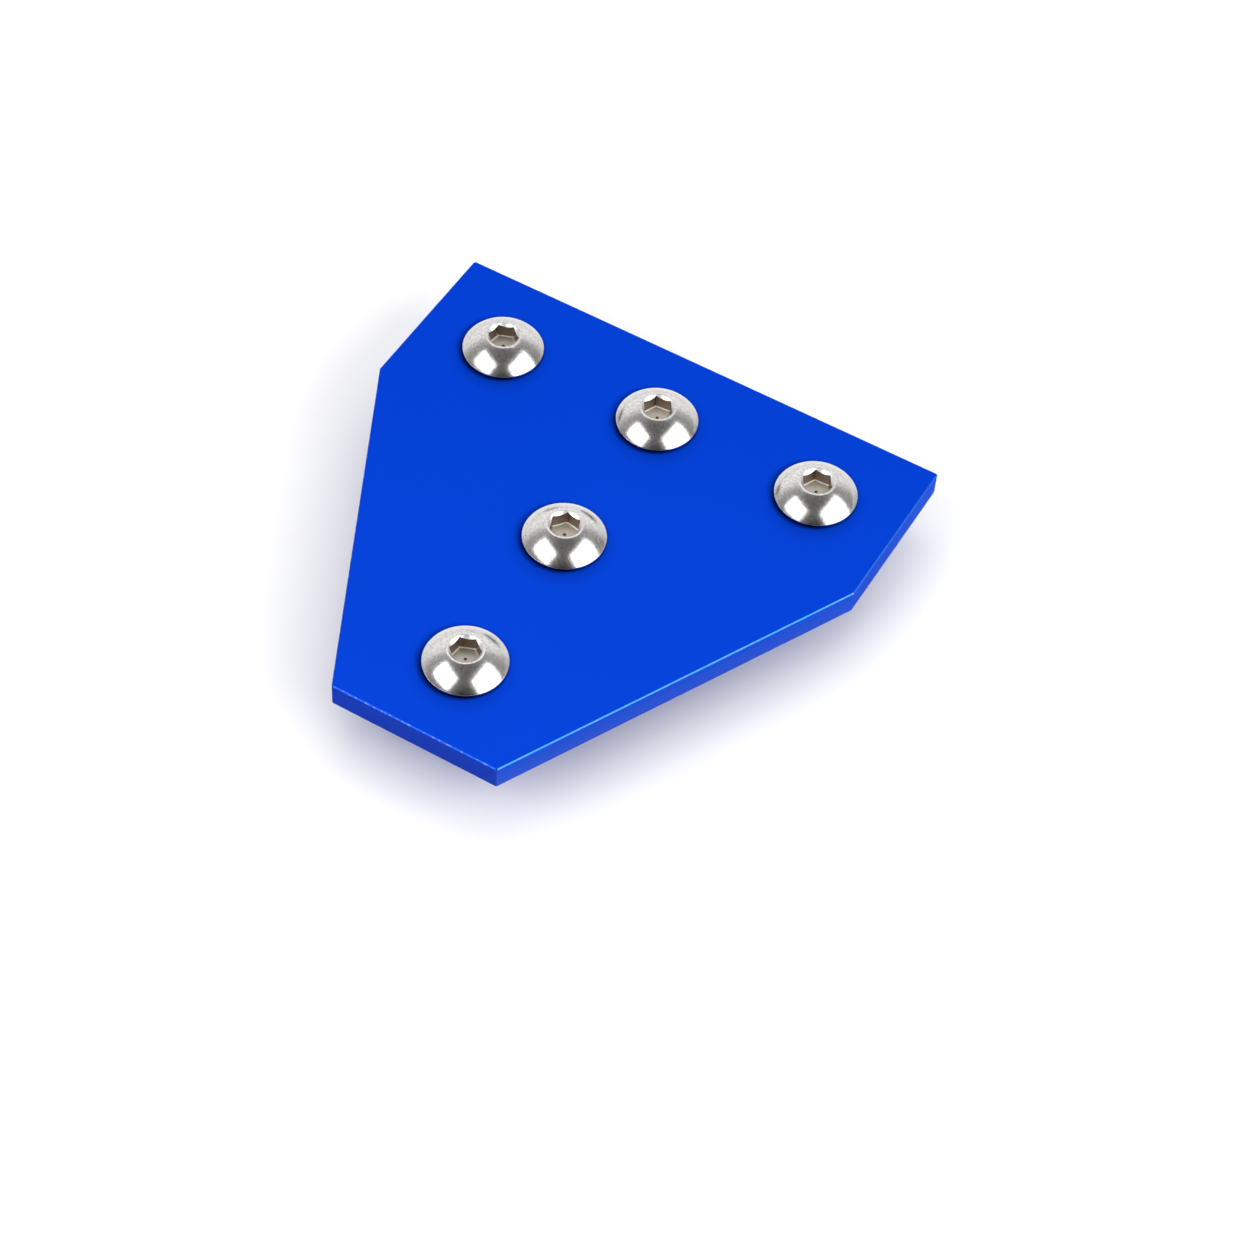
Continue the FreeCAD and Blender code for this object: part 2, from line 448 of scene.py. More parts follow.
def nut_outlines(half_length, half):
    """Columns of the neck and of the wings, anticlockwise. Along a corner the neck's arc goes with the
    wing's shoulder, which is straight, and then its arc. Along a side both have the same places."""
    neck, wing = [], []
    even = np.linspace(0, 1, SHOULDER_STEPS + ARC_STEPS + 1)
    shoulder = np.linspace(0, 1, SHOULDER_STEPS + 1)[:-1]
    arc = np.linspace(0, 1, ARC_STEPS + 1)
    for spot, radius in enumerate([TURN_RADIUS, STOP_RADIUS, TURN_RADIUS, STOP_RADIUS]):
        small = corner(half, half, radius, spot, even)
        large = corner(half_length, half, radius, spot, arc)
        starts_flush = spot % 2 == 0
        if starts_flush:
            path = small[:, :1] + (large[:, :1] - small[:, :1]) * shoulder
            large = np.concatenate([path, large], axis=1)
        else:
            path = large[:, -1:] + (small[:, -1:] - large[:, -1:]) * (shoulder + shoulder[1])
            large = np.concatenate([large, path], axis=1)
        neck.append(small)
        wing.append(large)
    return joined(neck), joined(wing)


def joined(corners):
    """One closed outline: each corner, then straight steps to the next one."""
    t = np.linspace(0, 1, SIDE_STEPS + 1)[1:-1]
    parts = []
    for spot, points in enumerate(corners):
        start, end = points[:, -1:], corners[(spot + 1) % len(corners)][:, :1]
        parts += [points, start + (end - start) * t]
    return np.concatenate(parts + [corners[0][:, :1]], axis=1)


print("columns of a nut", 4 * (SHOULDER_STEPS + ARC_STEPS + SIDE_STEPS) + 1)

# %% [markdown]
# A nut's rings climb its tapped bore, cross the top of the neck and go down it, out over the wings,
# down and in under them, and across the foot to where the bore began. The thread is the screw's own,
# turned inside out, so the two fit by rule and not by trial.

# %% Rings of a nut
NUT_SOFT = 0.06 * MM
LEAST_RISE = 0.15 * MM


def nut_rings(half_length, half, height, bore_rows):
    """Rings from the top of the bore over neck and wings to its foot, with the nut's foot at 0."""
    neck, wing = nut_outlines(half_length, half)
    angle = np.unwrap(np.arctan2(neck[1], neck[0]))

    def ring(points, level):
        """The outline's points lifted to that level, which may differ from column to column."""
        return np.stack(np.broadcast_arrays(points[0], points[1], level), axis=-1)

    mouth = (NUT_BORE + LEAD_IN) * np.stack([np.cos(angle), np.sin(angle)])
    shelf = height - NUT_NECK_HEIGHT
    rise = np.clip(np.abs(wing[0]) - half, LEAST_RISE, half_length - half)
    foot = np.stack([np.clip(wing[0], -half, half), wing[1]])
    thread = np.stack([bore_rows[0] * np.cos(angle), bore_rows[0] * np.sin(angle), bore_rows[1]], axis=-1)
    outside = soften([
        (thread[-1], 0), (ring(mouth, height), NUT_SOFT / 2), (ring(neck, height), NUT_SOFT),
        (ring(neck, shelf), NUT_SOFT), (ring(wing, shelf), NUT_SOFT), (ring(wing, rise), NUT_SOFT),
        (ring(foot, 0.0), NUT_SOFT), (ring(mouth, 0.0), NUT_SOFT / 2), (thread[0], 0),
    ])
    return np.concatenate([thread, outside])


def nut_thread(angle, low, high):
    """Radius and height of the bore's rows: the screw's thread turned inside out, and a 45 degree
    countersink at both ends."""
    rows, level = climbing_rows(angle, low + NUT_SOFT, high - NUT_SOFT)
    radius = NUT_BORE - thread_cut(rows, NUT_DEPTH)
    opening = NUT_BORE + LEAD_IN - np.minimum(high - level, level - low)
    return np.maximum(radius, opening), level - low


print("bore", round(NUT_BORE / MM, 3), "mm, opening", round((NUT_BORE + LEAD_IN) / MM, 3), "mm")

# %% [markdown]
# The three nuts in the plate's wide row have their wings along Y and the other two along X, each
# across its own slot. Which way a nut lies is read from its box.

# %% Build the T-nuts
def t_nut(name):
    """One nut from its box, turned so that its wings lie along the box's longer side: x is along times
    cosine less across times sine, and y is along times sine plus across times cosine."""
    low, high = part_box("t_nut_" + name)
    x, y = axis_of(name)
    spans = sorted([high.x - low.x, high.y - low.y])
    half, half_length = spans[0] / 2, spans[1] / 2
    turn = math.pi / 2 if high.y - low.y > high.x - low.x else 0.0
    neck, _ = nut_outlines(half_length, half)
    angle = np.unwrap(np.arctan2(neck[1], neck[0])) + turn
    rings = nut_rings(half_length, half, high.z - low.z, nut_thread(angle, low.z, high.z))
    along, across, level = np.moveaxis(rings, -1, 0)
    cosine, sine = math.cos(turn), math.sin(turn)
    piece = skin(
        "slot_nut_" + name,
        x + along * cosine - across * sine,
        y + along * sine + across * cosine,
        low.z + level,
    )
    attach(piece, "root")
    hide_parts("t_nut_" + name)
    return piece


nuts = [t_nut(name) for name in HEX_TURNS]

# %% [markdown]
# ## Nodes in few words
#
# A material is a small graph. One helper adds a node, sets its options and fills its inputs, where
# an input is either a plain value or the output of another node. With it a graph reads from top to
# bottom like a recipe. Where Blender's socket names repeat, their numbers are used: in Map Range 0 is
# the value, 1 and 2 are its range, and 3 and 4 the range of the result.

# %% Node helper
def add(tree, kind, inputs=None, **options):
    """Adds a shader node; keys of inputs are socket names or numbers."""
    made = tree.nodes.new("ShaderNode" + kind)
    for key, value in options.items():
        setattr(made, key, value)
    for key, value in (inputs or {}).items():
        if isinstance(value, bpy.types.NodeSocket):
            tree.links.new(value, made.inputs[key])
        else:
            made.inputs[key].default_value = value
    return made


def blend_colour(tree, factor, start, end):
    """A mix of two colours, which a Mix node takes at its inputs 6 and 7 and gives at its output 2;
    start or end may be a colour or an output."""
    made = add(tree, "Mix", data_type="RGBA")
    for socket, value in zip((made.inputs[0], made.inputs[6], made.inputs[7]), (factor, start, end)):
        if isinstance(value, bpy.types.NodeSocket):
            tree.links.new(value, socket)
        else:
            socket.default_value = value
    return made.outputs[2]


# %% [markdown]
# A node group is a graph with sockets of its own, which can be placed in several materials with
# different values. Every metal here starts alike, as a Principled shader with Metallic at 1, and ends
# in a bump for its grain, so these steps are helpers too.

# %% Group and material helpers
def new_group(name, inputs, outputs):
    """An empty group with a vector input, float inputs (name: default) and float outputs."""
    group = bpy.data.node_groups.new(name, "ShaderNodeTree")
    group.interface.new_socket("Vector", in_out="INPUT", socket_type="NodeSocketVector")
    for label, value in inputs.items():
        socket = group.interface.new_socket(label, in_out="INPUT", socket_type="NodeSocketFloat")
        socket.default_value = value
    for label in outputs:
        group.interface.new_socket(label, in_out="OUTPUT", socket_type="NodeSocketFloat")
    return group, group.nodes.new("NodeGroupInput"), group.nodes.new("NodeGroupOutput")


def use_group(tree, group, inputs):
    """Places the group in a material's tree and fills its inputs."""
    made = add(tree, "Group", node_tree=group)
    for key, value in inputs.items():
        if isinstance(value, bpy.types.NodeSocket):
            tree.links.new(value, made.inputs[key])
        else:
            made.inputs[key].default_value = value
    return made


def new_material(name):
    """A material with a Principled shader as metal; its tree, the shader and the object coordinates."""
    material = bpy.data.materials.new(name)
    material.use_nodes = True
    tree = material.node_tree
    shader = tree.nodes["Principled BSDF"]
    shader.inputs["Metallic"].default_value = 1.0
    return material, tree, shader, add(tree, "TexCoord").outputs["Object"]


def bump(tree, shader, height, depth, strength):
    """Feeds the shader's normal with a bump of the given depth in metres."""
    made = add(tree, "Bump", {"Height": height, "Distance": depth, "Strength": strength})
    tree.links.new(made.outputs[0], shader.inputs["Normal"])


# %% [markdown]
# ## Grain
#
# Blasted and tumbled metal isn't smooth: seen close, its sheen breaks up into a fine grain, and seen
# as a whole it is faintly cloudy. Both are noise on the object's own coordinates, one with a scale of
# thousands per metre and one of tens. All three metals need them in their own measure, so they are
# one group, and each material says how fine the grain is.

# %% Grain group
GRAIN_DETAIL = 3.0
CLOUD_DETAIL = 2.0

grain, taken, given = new_group(
    "metal grain", {"Grain Scale": 3000.0, "Cloud Scale": 60.0}, ["Grain", "Cloud"]
)
fine = add(grain, "TexNoise", {
    "Vector": taken.outputs["Vector"], "Scale": taken.outputs["Grain Scale"], "Detail": GRAIN_DETAIL,
})
cloud = add(grain, "TexNoise", {
    "Vector": taken.outputs["Vector"], "Scale": taken.outputs["Cloud Scale"], "Detail": CLOUD_DETAIL,
})
grain.links.new(fine.outputs[0], given.inputs["Grain"])
grain.links.new(cloud.outputs[0], given.inputs["Cloud"])
print("group", grain.name, [item.name for item in grain.interface.items_tree])

# %% [markdown]
# ## Worn edges
#
# Colour is thinnest and most often rubbed off along an edge. The plate's edges are 45 degree
# bevels, and no other face of it leans like that, so the upright part of the face's normal finds
# them: it is 1 on the top, 0 on a side and 0.71 on a bevel. A noise along the edge then breaks the
# wear into strokes.

# %% Worn edge group
# The Edge output also places the plate's painted bevel highlight.
BEVEL_NORMAL = 0.7071
BEVEL_SPREAD = 0.12

worn, taken, given = new_group("worn edge", {"Scale": 700.0, "Least": 0.4, "Most": 0.6}, ["Edge", "Wear"])
parts = add(worn, "SeparateXYZ", {0: add(worn, "NewGeometry").outputs["True Normal"]})
upright = add(worn, "Math", {0: parts.outputs[2]}, operation="ABSOLUTE")
edge = add(worn, "Math", {0: upright.outputs[0], 1: BEVEL_NORMAL, 2: BEVEL_SPREAD}, operation="COMPARE")
strokes = add(worn, "TexNoise", {"Vector": taken.outputs["Vector"], "Scale": taken.outputs["Scale"]})
shown = add(worn, "MapRange", {
    0: strokes.outputs[0], 1: taken.outputs["Least"], 2: taken.outputs["Most"],
}, interpolation_type="SMOOTHSTEP")
wear = add(worn, "Math", {0: edge.outputs[0], 1: shown.outputs[0]}, operation="MULTIPLY")
worn.links.new(edge.outputs[0], given.inputs["Edge"])
worn.links.new(wear.outputs[0], given.inputs["Wear"])
print("group", worn.name, [item.name for item in worn.interface.items_tree])

# %% [markdown]
# ## Blue anodised aluminium
#
# Anodising grows a clear skin on the aluminium and dyes it. Light passes the dye, strikes metal and
# comes back coloured, so it is a metal whose own colour is deep blue, not a paint with a white gloss.
# The graph starts with the blasted top, which is faintly cloudy, and the next steps add to it.

# %% Plate material: the top
TOP_BLUE = (0.0020, 0.050, 0.590, 1)
TOP_BLUE_LIGHT = (0.0024, 0.053, 0.625, 1)
PLATE_GRAIN = {"Grain Scale": 4000.0, "Cloud Scale": 55.0}
PLATE_WEAR = {"Scale": 1800.0, "Least": 0.50, "Most": 0.68}

blue, tree, shader, place = new_material("blue anodised aluminium")
texture = use_group(tree, grain, {"Vector": place, **PLATE_GRAIN})
wear_and_bevel_highlight = use_group(tree, worn, {"Vector": place, **PLATE_WEAR})
colour = blend_colour(tree, texture.outputs["Cloud"], TOP_BLUE, TOP_BLUE_LIGHT)
print("top", TOP_BLUE[:3], "to", TOP_BLUE_LIGHT[:3])

# %% [markdown]
# ## Shades round the heads
#
# The top is darker close to a head, which hides part of the light and is mirrored in the blasted
# skin. Lamps as wide as these leave that shade fainter than on the real plate, so three painted
# rings help it: a wide one in front of the head, a close one at its left and a narrow one that
# looks cast. They follow the distance from the screws' axes and so lie still in every view.

# %% Shades
# For each: how dark, from which distance to which, and how far the ring is moved along x and y.
WIDE_SHADE = (0.82, 4.4 * MM, 6.0 * MM, (0.15 * MM, -0.75 * MM))
CLOSE_SHADE = (0.50, 4.5 * MM, 5.2 * MM, (-0.28 * MM, -0.05 * MM))
CAST_SHADE = (0.34, 4.1 * MM, 4.7 * MM, (-0.17 * MM, -0.58 * MM))


def shaded(tree, place, colour, shade):
    """The colour made darker round each screw: distance over the plate to the nearest axis, moved a
    little, mapped from the shade's share at its start to 1 at its end."""
    dark, start, end, moved = shade
    flat = add(tree, "VectorMath", {0: place, 1: (1, 1, 0)}, operation="MULTIPLY").outputs[0]
    nearest = end
    for name in HEX_TURNS:
        x, y = axis_of(name)
        centre = (x + moved[0], y + moved[1], 0)
        away = add(tree, "VectorMath", {0: flat, 1: centre}, operation="DISTANCE").outputs["Value"]
        nearest = add(tree, "Math", {0: nearest, 1: away}, operation="MINIMUM").outputs[0]
    share = add(tree, "MapRange", {0: nearest, 1: start, 2: end, 3: dark, 4: 1.0}).outputs[0]
    return add(tree, "VectorMath", {0: colour, "Scale": share}, operation="SCALE").outputs[0]


by_heads = colour
for shade in [WIDE_SHADE, CLOSE_SHADE, CAST_SHADE]:
    by_heads = shaded(tree, place, by_heads, shade)
    print("shade", shade[0], "reaches", round(shade[2] / MM, 1), "mm from an axis")

# %% [markdown]
# ## Sides and bevels
#
# The sawn sides are more purple than the top and a little paler low down. Each catches the room in its
# own way, and that light is painted into the colour: the end is painted darker, a painted shade, and
# the right side paler, a painted reflection. A bevel shows a thin light line, partly a painted highlight
# in a paler blue that is brightest on the bevels that lean right, and rubbed pale in places by wear.
# Blender could give each face its own material, but the plate is one anodised part, so one graph tells
# its faces apart by the direction in which they look.

# %% Faces of the plate
SIDE_BLUE = (0.038, 0.108, 0.610, 1)
SIDE_LOW = (0.070, 0.130, 0.610, 1)
END_SHADED_BLUE = (0.034, 0.066, 0.400, 1)
RIGHT_LIT_BLUE = (0.130, 0.200, 0.620, 1)
BEVEL_BLUE = (0.014, 0.078, 0.520, 1)
RIGHT_BEVEL_HIGHLIGHT = (0.034, 0.185, 0.780, 1)
WORN_BLUE = (0.085, 0.180, 0.700, 1)
# Limits on the parts of a face's normal: its upright part on the top and the sides, its part along
# y on the end, and its part along x on the right side and on the bevel above it.
TOP_UPRIGHT = 0.9
SIDE_UPRIGHT = 0.5
END_FORWARD = -0.8
RIGHT_ACROSS = 0.95
RIGHT_LEAN = 0.5

facing = add(tree, "SeparateXYZ", {0: add(tree, "NewGeometry").outputs["True Normal"]})
across, forward, upright = facing.outputs
is_top = add(tree, "Math", {0: upright, 1: TOP_UPRIGHT}, operation="GREATER_THAN").outputs[0]
is_side = add(tree, "Math", {0: upright, 1: 0.0, 2: SIDE_UPRIGHT}, operation="COMPARE").outputs[0]
is_end = add(tree, "Math", {0: forward, 1: END_FORWARD}, operation="LESS_THAN").outputs[0]
is_right = add(tree, "Math", {0: across, 1: RIGHT_ACROSS}, operation="GREATER_THAN").outputs[0]
leans_right = add(tree, "Math", {0: across, 1: RIGHT_LEAN}, operation="GREATER_THAN").outputs[0]
rise = add(tree, "SeparateXYZ", {0: place}).outputs[2]
up = add(tree, "MapRange", {0: rise, 1: 0.0, 2: PLATE_TOP}).outputs[0]

colour = blend_colour(tree, is_top, colour, by_heads)
colour = blend_colour(tree, is_side, colour, blend_colour(tree, up, SIDE_LOW, SIDE_BLUE))
# Painted shade on the end and a painted reflection on the right side.
colour = blend_colour(tree, is_end, colour, END_SHADED_BLUE)
colour = blend_colour(tree, is_right, colour, RIGHT_LIT_BLUE)
# Painted highlight: the bevels get a paler blue, much paler where they lean right; the strokes after it are
# real wear.
bevel = blend_colour(tree, leans_right, BEVEL_BLUE, RIGHT_BEVEL_HIGHLIGHT)
colour = blend_colour(tree, wear_and_bevel_highlight.outputs["Edge"], colour, bevel)
colour = blend_colour(tree, wear_and_bevel_highlight.outputs["Wear"], colour, WORN_BLUE)
print("faces told apart by normals over", TOP_UPRIGHT, SIDE_UPRIGHT, RIGHT_ACROSS)

# %% [markdown]
# ## Sheen of the clear skin
#
# Seen in the screws at a flat angle, the plate's clear skin shines white instead of blue. Here that is a
# painted sheen: for glossy rays the plate's colour is swapped for a pale one. Such rays have come a long
# way from a low dome, so their length tells how pale the painted sheen is. The rest is the plain gloss
# of a blasted skin: one roughness, and a grain too fine to see one by one.

# %% Plate material: sheen and grain
EDGE_TINT = (0.050, 0.250, 1.000, 1)
SHEEN_TINT = (1.000, 1.000, 1.000, 1)
PLATE_PAINTED_SHEEN = (0.940, 0.950, 0.990, 1)
SHEEN_FROM = 0.55 * MM
SHEEN_FULL = 0.95 * MM
PLATE_ROUGHNESS = 0.36
PLATE_GRAIN_DEPTH = 0.004 * MM
PLATE_BUMP = 0.3

# Painted sheen: for glossy rays the base colour turns pale by the ray's length.
ray = add(tree, "LightPath")
far = add(tree, "MapRange", {0: ray.outputs["Ray Length"], 1: SHEEN_FROM, 2: SHEEN_FULL}).outputs[0]
pale = add(tree, "Math", {0: ray.outputs["Is Glossy Ray"], 1: far}, operation="MULTIPLY").outputs[0]
tree.links.new(blend_colour(tree, pale, colour, PLATE_PAINTED_SHEEN), shader.inputs["Base Color"])
tree.links.new(blend_colour(tree, pale, EDGE_TINT, SHEEN_TINT), shader.inputs["Specular Tint"])
shader.inputs["Roughness"].default_value = PLATE_ROUGHNESS
bump(tree, shader, texture.outputs["Grain"], PLATE_GRAIN_DEPTH, PLATE_BUMP)
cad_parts["plate"].data.materials.clear()
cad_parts["plate"].data.materials.append(blue)
print(blue.name, "nodes", len(tree.nodes))

# %% [markdown]
# ## Screw steel
#
# The screws are stainless or zinc plated and tumbled, so they are bright with a fine speckle. Their
# sockets are punched, never polished, and their steel is darker and a little brown. The punch presses the
# floor light and dull. The countersink is cut last and the tool's marks spread the light in it; its whiter
# steel is partly a painted highlight, so its crescents are the whitest part. The three marks on each skin
# say where these finishes and the painted highlight are.

# %% Colours of the screws
STEEL = (0.695, 0.682, 0.666, 1)
STEEL_WARM = (0.500, 0.472, 0.448, 1)
# Darker and browner steel inside the sockets.
SOCKET_STEEL = (0.430, 0.350, 0.290, 1)
# Partly a painted highlight: the countersink's steel is made whiter.
MOUTH_STEEL_AND_HIGHLIGHT = (0.930, 0.925, 0.915, 1)
FLOOR_STEEL = (0.640, 0.610, 0.550, 1)
SCREW_GRAIN = {"Grain Scale": 3600.0, "Cloud Scale": 600.0}
# The grain's values between which the speckle turns from the bright to the warm steel.
SPECKLE_FROM = 0.40
SPECKLE_FULL = 0.75

steel, tree, shader, place = new_material("screw steel")
texture = use_group(tree, grain, {"Vector": place, **SCREW_GRAIN})
tint = add(tree, "MapRange", {0: texture.outputs["Grain"], 1: SPECKLE_FROM, 2: SPECKLE_FULL})
in_socket = add(tree, "Attribute", attribute_name="socket").outputs["Fac"]
on_mouth = add(tree, "Attribute", attribute_name="mouth").outputs["Fac"]
on_floor = add(tree, "Attribute", attribute_name="floor").outputs["Fac"]
seen = blend_colour(tree, tint.outputs[0], STEEL, STEEL_WARM)
seen = blend_colour(tree, in_socket, seen, SOCKET_STEEL)
seen = blend_colour(tree, on_mouth, seen, MOUTH_STEEL_AND_HIGHLIGHT)
seen = blend_colour(tree, on_floor, seen, FLOOR_STEEL)
print("finishes", {"dome": STEEL[:3], "wall": SOCKET_STEEL[:3], "mouth": MOUTH_STEEL_AND_HIGHLIGHT[:3]})

# %% [markdown]
# ## What the screws look like in a mirror
#
# The plate and the walls of a socket mirror the screws. In those mirrors the screws get a duller,
# darker steel than the camera sees, which is a painted reflection; inside the socket it is lighter than
# on the dome. Light Path tells such a ray from one that comes straight from the camera. So each head
# lays a painted dark halo of shade on the plate by it.

# %% Screw material: mirrored colours, roughness and grain
HEAD_MIRRORED_SHADE = (0.200, 0.190, 0.180, 1)
SOCKET_MIRRORED = (0.400, 0.350, 0.300, 1)
SCREW_ROUGHNESS = (0.17, 0.23)
MOUTH_ROUGHER = 0.22
FLOOR_ROUGHER = 0.30
SCREW_GRAIN_DEPTH = 0.0035 * MM
SCREW_BUMP = 0.8

# Painted reflection: glossy rays see the screws darker, which paints a halo of shade round each head.
in_mirror = add(tree, "LightPath").outputs["Is Glossy Ray"]
mirrored = blend_colour(tree, in_socket, HEAD_MIRRORED_SHADE, SOCKET_MIRRORED)
tree.links.new(blend_colour(tree, in_mirror, seen, mirrored), shader.inputs["Base Color"])
smooth, dull = SCREW_ROUGHNESS
rough = add(tree, "MapRange", {0: texture.outputs["Cloud"], 3: smooth, 4: dull}).outputs[0]
for mark, rougher in [(on_mouth, MOUTH_ROUGHER), (on_floor, FLOOR_ROUGHER)]:
    rough = add(tree, "Math", {0: mark, 1: rougher, 2: rough}, operation="MULTIPLY_ADD").outputs[0]
tree.links.new(rough, shader.inputs["Roughness"])
bump(tree, shader, texture.outputs["Grain"], SCREW_GRAIN_DEPTH, SCREW_BUMP)
for piece in screws:
    piece.data.materials.append(steel)
print(steel.name, "nodes", len(tree.nodes), "on", len(screws), "screws")

# %% [markdown]
# ## Nut steel
#
# The nuts are nickel plated over a pressed surface, so they are duller than the screws.

# %% Nut material
NICKEL = (0.560, 0.550, 0.520, 1)
NICKEL_DARK = (0.430, 0.420, 0.400, 1)
NUT_GRAIN = {"Grain Scale": 5000.0, "Cloud Scale": 400.0}
NUT_ROUGHNESS = (0.28, 0.42)
NUT_GRAIN_DEPTH = 0.006 * MM
NUT_BUMP = 0.4

nickel, tree, shader, place = new_material("nickel plated steel")
texture = use_group(tree, grain, {"Vector": place, **NUT_GRAIN})
plated = blend_colour(tree, texture.outputs["Cloud"], NICKEL, NICKEL_DARK)
tree.links.new(plated, shader.inputs["Base Color"])
smooth, dull = NUT_ROUGHNESS
rough = add(tree, "MapRange", {0: texture.outputs["Grain"], 3: smooth, 4: dull})
tree.links.new(rough.outputs[0], shader.inputs["Roughness"])
bump(tree, shader, texture.outputs["Grain"], NUT_GRAIN_DEPTH, NUT_BUMP)
for piece in nuts:
    piece.data.materials.append(nickel)
print(nickel.name, "nodes", len(tree.nodes), "on", len(nuts), "nuts")

# %% [markdown]
# ## Floor
#
# A white sweep of paper, far wider than the object, at the height of the T-nuts' undersides. Seen
# from below it is clear, so that a camera down there finds the object and not the paper.

# %% Floor
FLOOR_REACH = 3.0
PAPER = (0.88, 0.88, 0.88, 1)
PAPER_ROUGHNESS = 0.9

floor_mesh = bpy.data.meshes.new("paper_floor")
signs = [(-1, -1), (1, -1), (1, 1), (-1, 1)]
floor_mesh.from_pydata([(x * FLOOR_REACH, y * FLOOR_REACH, FLOOR_Z) for x, y in signs], [], [(0, 1, 2, 3)])
floor = bpy.data.objects.new("paper_floor", floor_mesh)
bpy.context.scene.collection.objects.link(floor)
paper = bpy.data.materials.new("paper")
paper.use_nodes = True
tree = paper.node_tree
matt = tree.nodes["Principled BSDF"]
matt.inputs["Base Color"].default_value = PAPER
matt.inputs["Roughness"].default_value = PAPER_ROUGHNESS
from_below = add(tree, "NewGeometry").outputs["Backfacing"]
clear = add(tree, "BsdfTransparent").outputs[0]
sheet = add(tree, "MixShader", {0: from_below, 1: matt.outputs[0], 2: clear})
tree.links.new(sheet.outputs[0], tree.nodes["Material Output"].inputs[0])
floor_mesh.materials.append(paper)
floor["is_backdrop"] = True
print("floor", 2 * FLOOR_REACH, "m wide at", round(FLOOR_Z / MM, 3), "mm")

# %% [markdown]
# ## Camera
#
# The camera stands where the photograph's did. Its place was worked out from the plate's corners:
# with the right angles, distance and focal length, all of them fall on their places in the picture.

# %% Camera
AZIMUTH = math.radians(26.54)
ELEVATION = math.radians(51.68)
DISTANCE = 334.8 * MM
AIM = Vector((11.854, -26.957, 3.0)) * MM
ROLL = math.radians(4.686)
FOCAL_LENGTH = 91.44
CLIP_START = 10 * MM


def outward(azimuth, elevation):
    """Unit vector away from the object: azimuth 0 is -Y, and it grows towards +X."""
    flat = math.cos(elevation)
    return Vector((math.sin(azimuth) * flat, -math.cos(azimuth) * flat, math.sin(elevation)))


def look(thing, direction, distance, roll=0.0):
    """Stands the thing that far from the aim in that direction, facing the aim."""
    spot = Matrix.Translation(AIM + direction * distance)
    turn = (-direction).to_track_quat("-Z", "Y").to_matrix().to_4x4()
    thing.matrix_world = spot @ turn @ Matrix.Rotation(roll, 4, "Z")


lens = bpy.data.cameras.new("camera")
lens.lens = FOCAL_LENGTH
lens.clip_start = CLIP_START
camera = bpy.data.objects.new("camera", lens)
bpy.context.scene.collection.objects.link(camera)
bpy.context.scene.camera = camera
look(camera, outward(AZIMUTH, ELEVATION), DISTANCE, ROLL)
print("camera at", [round(v / MM, 1) for v in camera.location])

# %% [markdown]
# ## Lamps
#
# Every dome in the photograph shows two white patches, so two soft boxes stood left and right,
# rather low. A ball mirrors a direction at a known place, and from those places come their angles.

# %% Soft boxes
LAMP_DISTANCE = 0.5
LAMP_RADIANCE = 3.0
BACK_RADIANCE = 0.8
# Azimuth from the camera's, elevation, half the width and half the height in degrees, and radiance.
SOFT_BOXES = {
    "soft_box_left": (-59, 37, 24, 18, LAMP_RADIANCE),
    "soft_box_right": (64, 29, 30, 26, LAMP_RADIANCE),
    "soft_box_back": (180, 67, 24, 12, BACK_RADIANCE),
}


def soft_box(name, azimuth, elevation, half_width, half_height, radiance):
    """An area lamp that fills the given half angles seen from the object; angles in degrees."""
    light = bpy.data.lights.new(name, "AREA")
    light.shape = "RECTANGLE"
    light.size = 2 * LAMP_DISTANCE * math.tan(math.radians(half_width))
    light.size_y = 2 * LAMP_DISTANCE * math.tan(math.radians(half_height))
    light.energy = math.pi * light.size * light.size_y * radiance
    lamp = bpy.data.objects.new(name, light)
    bpy.context.scene.collection.objects.link(lamp)
    look(lamp, outward(AZIMUTH + math.radians(azimuth), math.radians(elevation)), LAMP_DISTANCE)
    lamp.visible_camera = False
    print(name, "watts", round(light.energy, 2))


for name, values in SOFT_BOXES.items():
    soft_box(name, *values)

# %% [markdown]
# ## Fill
#
# A wide lamp above whitens the paper. The metal doesn't mirror it, so it adds no patch to the domes.

# %% Fill lamp
FILL_SIZE = 1.2
FILL_HEIGHT = 1.0
FILL_WATTS = 3.5

fill = bpy.data.lights.new("fill", "AREA")
fill.size = FILL_SIZE
fill.energy = FILL_WATTS
overhead = bpy.data.objects.new("fill", fill)
bpy.context.scene.collection.objects.link(overhead)
overhead.location = AIM + Vector((0, 0, FILL_HEIGHT))
overhead.visible_camera = False
overhead.visible_glossy = False
print("fill watts", FILL_WATTS, "at", FILL_HEIGHT, "m")

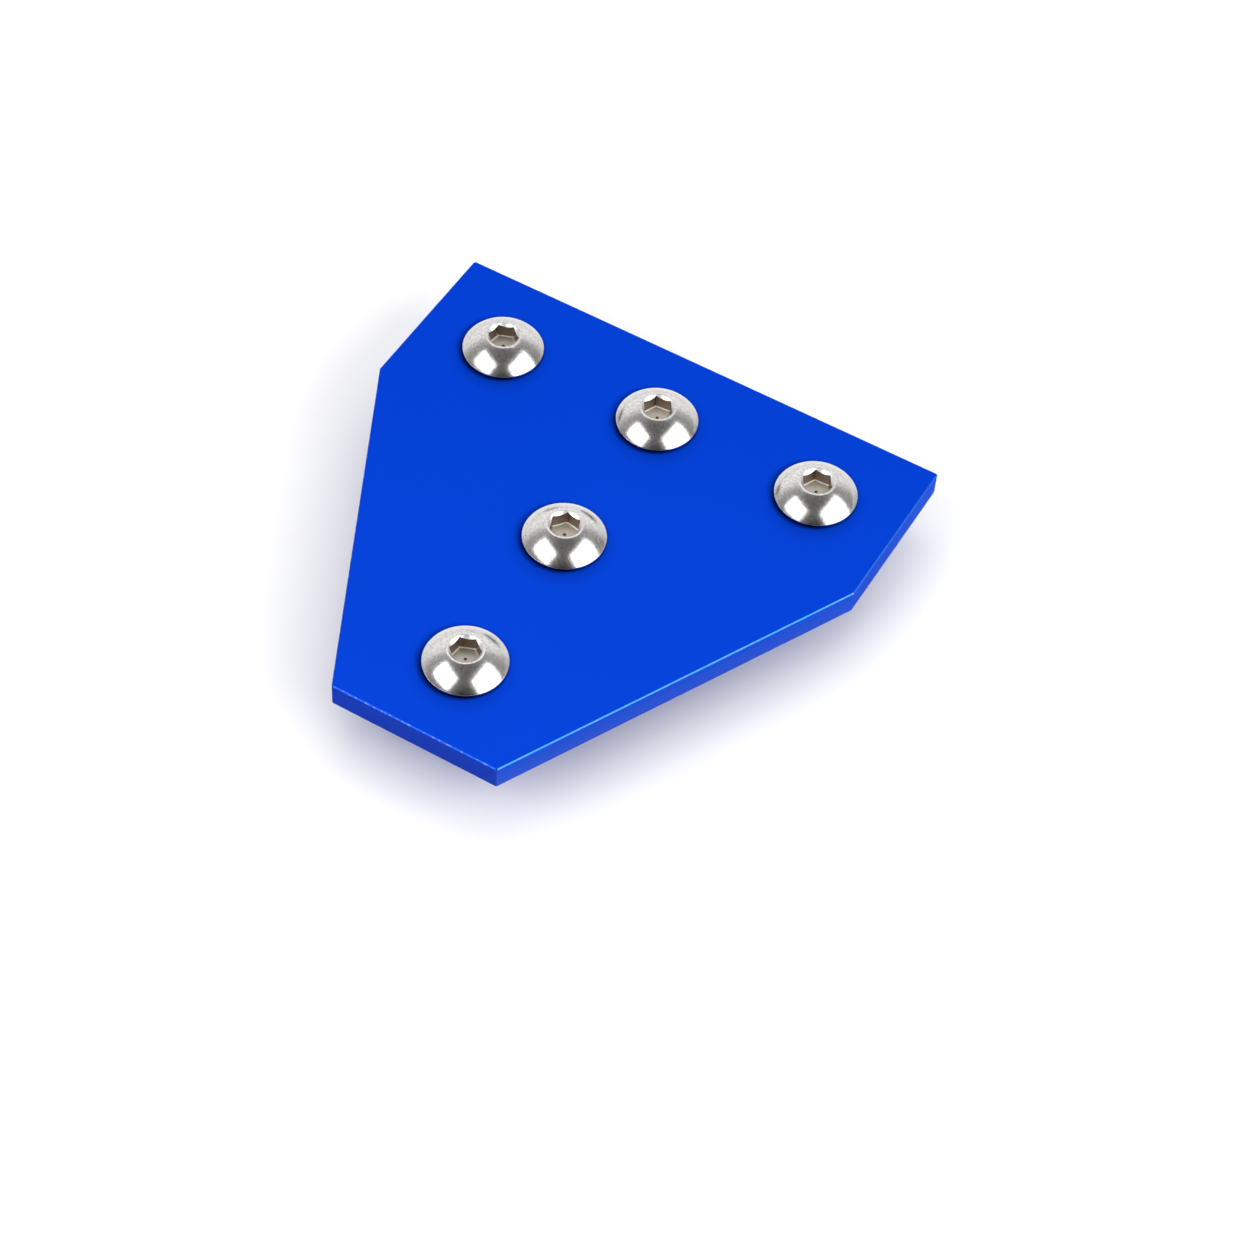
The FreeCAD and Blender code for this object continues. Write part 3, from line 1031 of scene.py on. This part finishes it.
# %% [markdown]
# ## Room
#
# The rest of the room is seen only in the metal. The far half of each dome is bright and the near
# half dark, which makes a white wall behind the object and a dim room behind the camera. A colour
# ramp along that one direction says it all. The camera itself sees an even pale backdrop.

# %% World
BACK_TURN = math.radians(-172)
# Places on the ramp, from behind the camera at 0 to the white wall at 1, and the radiance there.
ROOM = [
    (0.00, 0.01), (0.03, 0.02), (0.06, 0.06), (0.10, 0.13), (0.37, 0.15), (0.48, 0.20),
    (0.58, 0.32), (0.67, 0.44), (0.735, 0.64), (0.79, 1.00), (0.86, 1.15), (1.00, 1.20),
]
BRIGHTEST = ROOM[-1][1]
BACKDROP = (0.9, 0.9, 0.9, 1)

world = bpy.data.worlds.new("room")
bpy.context.scene.world = world
world.use_nodes = True
tree = world.node_tree
tree.nodes.clear()
direction = add(tree, "TexCoord").outputs["Generated"]
back = outward(AZIMUTH + BACK_TURN, 0.0)
along = add(tree, "VectorMath", {0: direction, 1: back}, operation="DOT_PRODUCT").outputs["Value"]
share = add(tree, "MapRange", {0: along, 1: -1.0, 2: 1.0}).outputs[0]
ramp = add(tree, "ValToRGB", {0: share})
stops = ramp.color_ramp.elements
for position, _ in ROOM[1:-1]:
    stops.new(position)
for stop, (_, value) in zip(stops, ROOM):
    stop.color = (value / BRIGHTEST,) * 3 + (1,)
room = add(tree, "Background", {0: ramp.outputs[0], 1: BRIGHTEST})
backdrop = add(tree, "Background", {0: BACKDROP})
seen = add(tree, "MixShader", {
    0: add(tree, "LightPath").outputs["Is Camera Ray"], 1: room.outputs[0], 2: backdrop.outputs[0],
})
tree.links.new(seen.outputs[0], add(tree, "OutputWorld").inputs[0])
bpy.context.scene.view_settings.view_transform = "Standard"
print("room stops", [round(stop.position, 3) for stop in stops])

# %% [markdown]
# ## Finish
#
# The dressed object has to keep the size of the solids, so both boxes are written down.

# %% Measure and finish
dressed_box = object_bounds()
for label, box in (("cad", cad_box), ("dressed", dressed_box)):
    print(label, [[round(c / MM, 2) for c in v] for v in box])
